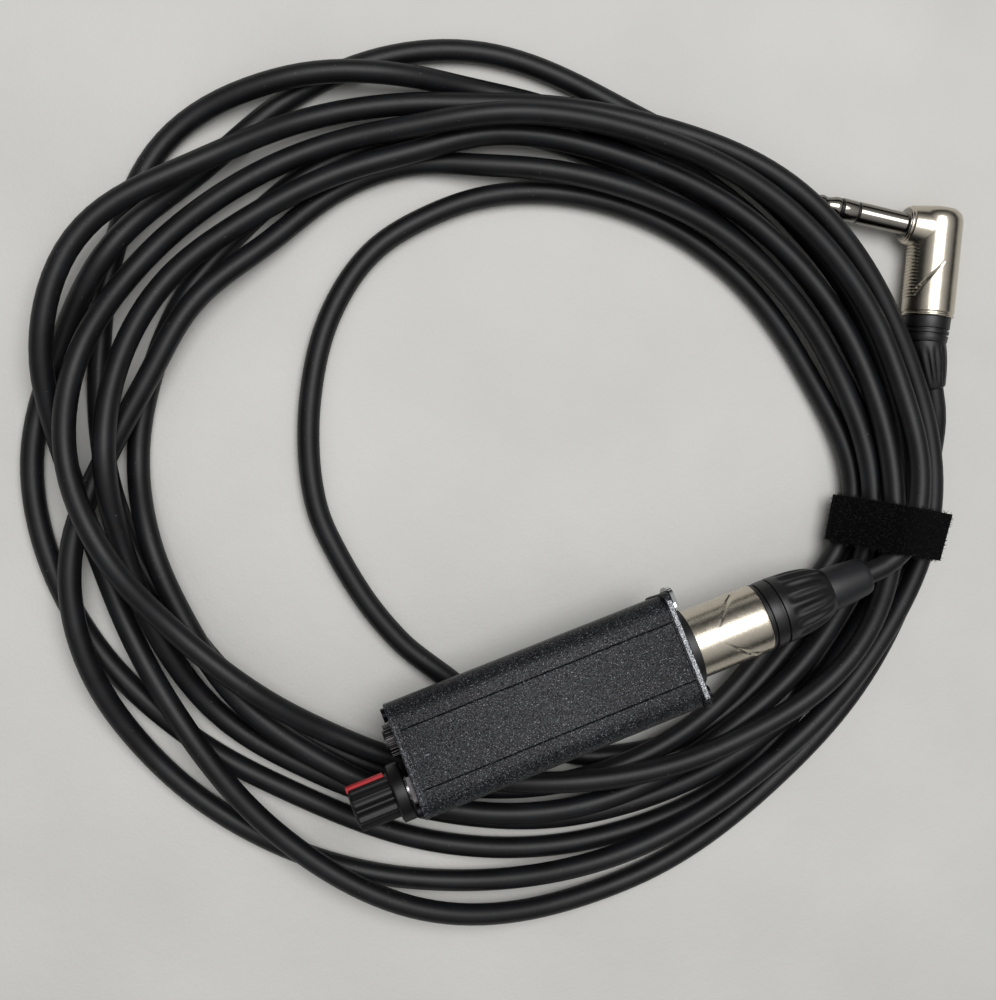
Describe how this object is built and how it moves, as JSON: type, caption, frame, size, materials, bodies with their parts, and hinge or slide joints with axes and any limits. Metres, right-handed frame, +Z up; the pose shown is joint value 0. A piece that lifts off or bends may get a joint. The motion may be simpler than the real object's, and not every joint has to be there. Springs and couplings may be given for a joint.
{
  "type": "coiled headphone extension cable with inline volume pack",
  "caption": "Long round cable coiled and strapped, with a right-angle phone plug at one end and a latching three-pin plug seated in a pocket volume pack at the other.",
  "frame": {"origin": "middle of the bounding box, on the surface that the coil lies on", "axes": "+X along the pack from its knob end to its socket end, +Z up, +Y across the coil away from the pack"},
  "size_m": [0.2821, 0.2543, 0.0406],
  "materials": {
    "cable_black": "satin",
    "strap_black": "matte",
    "pack_black": "textured",
    "screw_steel": "satin",
    "board_green": "matte",
    "moulded_black": "matte",
    "chrome": "polished",
    "nickel": "satin",
    "gold": "polished",
    "pointer_red": "matte",
    "boot_black": "satin"
  },
  "bodies": {
    "lead": {"cable_coil": "cable_black", "tie_band": "strap_black", "pack_body": "pack_black", "knob_end_plate": "pack_black", "socket_end_plate": "pack_black", "knob_screw_1": "screw_steel", "knob_screw_2": "screw_steel", "socket_screw_1": "screw_steel", "socket_screw_2": "screw_steel", "circuit_board": "board_green", "belt_clip": "pack_black", "clip_screw_1": "screw_steel", "clip_screw_2": "screw_steel", "jack_socket": "moulded_black", "jack_nut": "chrome", "pot_body": "screw_steel", "pot_nut": "chrome", "socket_shell": "moulded_black", "socket_insert": "moulded_black", "contact_1": "gold", "contact_2": "gold", "contact_3": "gold", "latch_pin": "screw_steel", "latch_bracket": "moulded_black", "plug_shell": "nickel", "plug_insert": "moulded_black", "pin_1": "chrome", "pin_2": "chrome", "pin_3": "chrome", "plug_chuck": "moulded_black", "plug_bushing": "moulded_black", "plug_boot": "boot_black", "trs_tip": "nickel", "trs_band_1": "moulded_black", "trs_ring": "nickel", "trs_band_2": "moulded_black", "trs_rod": "nickel", "trs_sleeve": "nickel", "elbow_housing": "nickel", "elbow_bushing": "moulded_black", "elbow_boot": "boot_black"},
    "knob": {"volume_knob": "moulded_black", "pot_shaft": "screw_steel", "knob_pointer": "pointer_red"},
    "latch": {"latch_lever": "chrome"}
  },
  "joints": [
    {"name": "volume_turn", "type": "hinge", "parent": "lead", "child": "knob", "pos_m": [-0.0732, -0.06604, 0.02772], "axis": [-1, 0, 0], "range_deg": [-150, 150]},
    {"name": "latch_press", "type": "hinge", "parent": "lead", "child": "latch", "pos_m": [-0.0002, -0.04716, 0.02371], "axis": [0, 0.2079, 0.9781], "range_deg": [0, 4], "stiffness_Nm_per_rad": 0.3}
  ]
}
